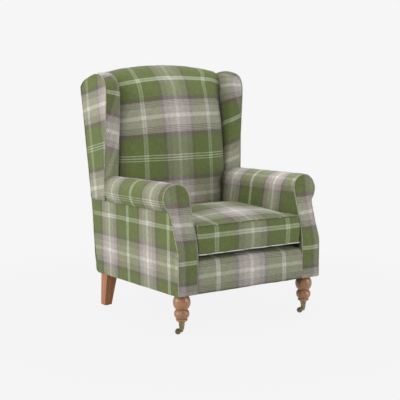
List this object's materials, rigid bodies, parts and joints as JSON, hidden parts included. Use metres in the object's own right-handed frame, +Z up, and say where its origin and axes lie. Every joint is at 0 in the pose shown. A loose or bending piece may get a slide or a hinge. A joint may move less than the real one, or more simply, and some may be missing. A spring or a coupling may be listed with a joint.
{
  "type": "wing armchair",
  "caption": "Upholstered fireside wing chair in plaid fabric with scroll arms, a loose box cushion, turned front legs on cup castors and tapered back legs.",
  "frame": {"origin": "On the floor, under the middle of the chair's bounding box", "axes": "+Z up, +Y from the chair's front to its back, +X to the right seen from the front"},
  "size_m": [0.78, 0.8596, 1.0868],
  "materials": {
    "plaid": "woven wool-look plaid in greens, olive, mauve and cream",
    "webbing": "coarse hessian and jute webbing",
    "dust_cloth": "thin matt black lining",
    "frame_wood": "bare sawn timber",
    "leg_wood": "satin lacquered light oak colour",
    "brass": "antiqued brass",
    "steel": "bright steel wire and bolts",
    "glide_plastic": "black nylon"
  },
  "bodies": {
    "chair": {"front_rail": "frame_wood", "rear_rail": "frame_wood", "left_side_rail": "frame_wood", "right_side_rail": "frame_wood", "left_front_post": "frame_wood", "right_front_post": "frame_wood", "left_back_post": "frame_wood", "right_back_post": "frame_wood", "back_top_rail": "frame_wood", "back_lower_rail": "frame_wood", "left_arm_board": "frame_wood", "right_arm_board": "frame_wood", "left_wing_board": "frame_wood", "right_wing_board": "frame_wood", "corner_blocks": "frame_wood", "seat_springs": "steel", "spring_clips": "steel", "back_webbing": "webbing", "seat_platform": "webbing", "front_border": "plaid", "inside_back": "plaid", "outside_back": "plaid", "left_wing": "plaid", "right_wing": "plaid", "left_outside_wing": "plaid", "right_outside_wing": "plaid", "left_arm_pad": "plaid", "right_arm_pad": "plaid", "left_arm_facing": "plaid", "right_arm_facing": "plaid", "left_outside_arm": "plaid", "right_outside_arm": "plaid", "dust_cover": "dust_cloth", "left_front_leg": "leg_wood", "right_front_leg": "leg_wood", "left_rear_leg": "leg_wood", "right_rear_leg": "leg_wood", "leg_bolts": "steel", "rear_glides": "glide_plastic", "left_castor_cup": "brass", "right_castor_cup": "brass"},
    "cushion": {"seat_cushion": "plaid"},
    "left_castor": {"left_castor_horn": "brass", "left_castor_axle": "steel"},
    "right_castor": {"right_castor_horn": "brass", "right_castor_axle": "steel"},
    "left_wheel": {"left_castor_wheel": "brass"},
    "right_wheel": {"right_castor_wheel": "brass"}
  },
  "joints": [
    {"name": "cushion_lift", "type": "slide", "parent": "chair", "child": "cushion", "axis": [0, 0, 1], "range_m": [0, 0.3]},
    {"name": "left_castor_swivel", "type": "hinge", "parent": "chair", "child": "left_castor", "pos_m": [-0.318, -0.37458, 0.0269], "axis": [0, 0, 1], "continuous": true},
    {"name": "right_castor_swivel", "type": "hinge", "parent": "chair", "child": "right_castor", "pos_m": [0.318, -0.37458, 0.0269], "axis": [0, 0, 1], "continuous": true},
    {"name": "left_wheel_spin", "type": "hinge", "parent": "left_castor", "child": "left_wheel", "pos_m": [-0.33142, -0.36683, 0.0125], "axis": [0.5, 0.866, 0], "continuous": true},
    {"name": "right_wheel_spin", "type": "hinge", "parent": "right_castor", "child": "right_wheel", "pos_m": [0.30458, -0.36683, 0.0125], "axis": [0.5, 0.866, 0], "continuous": true}
  ]
}
